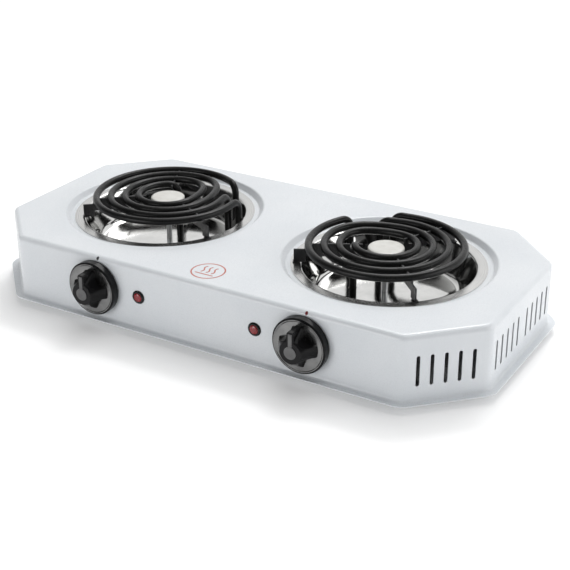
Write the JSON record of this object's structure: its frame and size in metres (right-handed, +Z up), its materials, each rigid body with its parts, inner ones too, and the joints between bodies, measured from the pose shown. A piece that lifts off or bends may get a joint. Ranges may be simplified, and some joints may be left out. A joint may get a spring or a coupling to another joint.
{
  "type": "hot plate burner",
  "caption": "Free-standing electric hot plate: cut-cornered enamelled body, side-by-side open spiral elements over polished bowls, front knobs with pilot lights.",
  "frame": {"origin": "bottom centre of the whole object's box, on the surface its feet stand on", "axes": "+X to the right along the length, -Y towards the user (knob side), +Z up"},
  "size_m": [0.494, 0.2678, 0.0804],
  "materials": {
    "white_enamel": "gloss vitreous enamel",
    "plain_steel": "zinc plated",
    "polished_bowl": "mirror polished stainless",
    "element_sheath": "dark oxidised sheath, satin",
    "support_black": "black enamel",
    "medallion_cream": "satin enamel",
    "ceramic_white": "unglazed steatite",
    "brass_bright": "bright",
    "knob_black": "moulded, glossy",
    "dial_silver": "brushed and polished",
    "insert_grey": "metallic grey",
    "regulator_brown": "phenolic moulding",
    "bezel_black": "moulded, glossy",
    "lens_red": "translucent red",
    "lamp_glass": "clear",
    "rubber_black": "matt",
    "lead_white": "glass braid",
    "lead_brown": "silicone",
    "lead_blue": "silicone",
    "lead_green": "silicone"
  },
  "bodies": {
    "housing": {"base_brackets": "plain_steel", "base_plate": "plain_steel", "base_screws": "plain_steel", "bowl_strap_left": "plain_steel", "bowl_strap_right": "plain_steel", "centre_stud_left": "plain_steel", "centre_stud_right": "plain_steel", "coil_bushes_left": "ceramic_white", "coil_bushes_right": "ceramic_white", "coil_inner_left": "element_sheath", "coil_inner_right": "element_sheath", "coil_outer_left": "element_sheath", "coil_outer_right": "element_sheath", "coil_pins_left": "brass_bright", "coil_pins_right": "brass_bright", "coil_support_left": "support_black", "coil_support_right": "support_black", "control_body_left": "regulator_brown", "control_body_right": "regulator_brown", "control_nut_left": "plain_steel", "control_nut_right": "plain_steel", "control_tabs": "brass_bright", "cord_gland": "rubber_black", "drip_bowl_left": "polished_bowl", "drip_bowl_right": "polished_bowl", "earth_lead": "lead_green", "earth_tab": "brass_bright", "element_leads_left": "lead_white", "element_leads_right": "lead_white", "foot_front_left": "rubber_black", "foot_front_right": "rubber_black", "foot_nuts": "plain_steel", "foot_rear_left": "rubber_black", "foot_rear_right": "rubber_black", "foot_screws": "plain_steel", "line_leads": "lead_brown", "medallion_left": "medallion_cream", "medallion_right": "medallion_cream", "neutral_leads": "lead_blue", "pilot_bezel_left": "bezel_black", "pilot_bezel_right": "bezel_black", "pilot_lamp_left": "lamp_glass", "pilot_lamp_right": "lamp_glass", "pilot_lens_left": "lens_red", "pilot_lens_right": "lens_red", "strap_nut_left": "plain_steel", "strap_nut_right": "plain_steel", "terminal_block": "ceramic_white", "terminal_screws": "brass_bright", "top_panel": "white_enamel"},
    "knob_left_body": {"knob_left": "knob_black", "knob_dial_left": "dial_silver", "knob_cap_left": "insert_grey", "knob_clip_left": "plain_steel", "control_shaft_left": "plain_steel"},
    "knob_right_body": {"knob_right": "knob_black", "knob_dial_right": "dial_silver", "knob_cap_right": "insert_grey", "knob_clip_right": "plain_steel", "control_shaft_right": "plain_steel"}
  },
  "joints": [
    {"name": "knob_left_turn", "type": "hinge", "parent": "housing", "child": "knob_left_body", "pos_m": [-0.103, -0.11295, 0.037], "axis": [0, 1, 0], "range_deg": [0, 270]},
    {"name": "knob_right_turn", "type": "hinge", "parent": "housing", "child": "knob_right_body", "pos_m": [0.103, -0.11295, 0.037], "axis": [0, 1, 0], "range_deg": [0, 270]}
  ]
}
